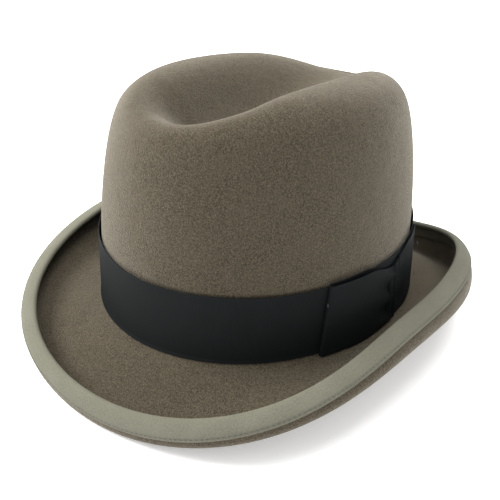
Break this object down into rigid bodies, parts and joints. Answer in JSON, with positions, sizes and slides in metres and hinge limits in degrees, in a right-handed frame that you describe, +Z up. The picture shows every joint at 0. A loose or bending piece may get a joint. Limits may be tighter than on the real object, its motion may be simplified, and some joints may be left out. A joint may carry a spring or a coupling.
{
  "type": "homburg hat",
  "caption": "Taupe felt homburg with a gutter crease, a curled brim bound in ribbon, a black grosgrain band and a flat side bow.",
  "frame": {"origin": "middle of the bounding box on the floor under the brim", "axes": "+Z up through the crown, -Y towards the front of the hat, +X towards the wearer's left, where the bow is"},
  "size_m": [0.2562, 0.2907, 0.1745],
  "materials": {
    "felt": "matte",
    "binding_ribbon": "satin",
    "binding_thread": "matte",
    "band_ribbon": "satin",
    "black_thread": "matte",
    "leather": "satin",
    "leather_thread": "matte",
    "reed": "satin",
    "tape": "matte",
    "small_bow_ribbon": "satin",
    "satin": "satin",
    "label": "matte"
  },
  "bodies": {
    "root": {"felt_hood": "felt", "brim_binding": "binding_ribbon", "binding_stitching": "binding_thread", "hat_band": "band_ribbon", "band_tacks": "black_thread", "bow_front_loop": "band_ribbon", "bow_rear_loop": "band_ribbon", "bow_knot": "band_ribbon", "bow_tacks": "black_thread", "sweatband": "leather", "sweatband_seam": "leather_thread", "sweatband_reed": "reed", "reed_tape": "tape", "sweatband_stitching": "leather_thread", "sweatband_bow": "small_bow_ribbon", "lining_side": "satin", "lining_tip": "satin", "size_label": "label"}
  },
  "joints": []
}
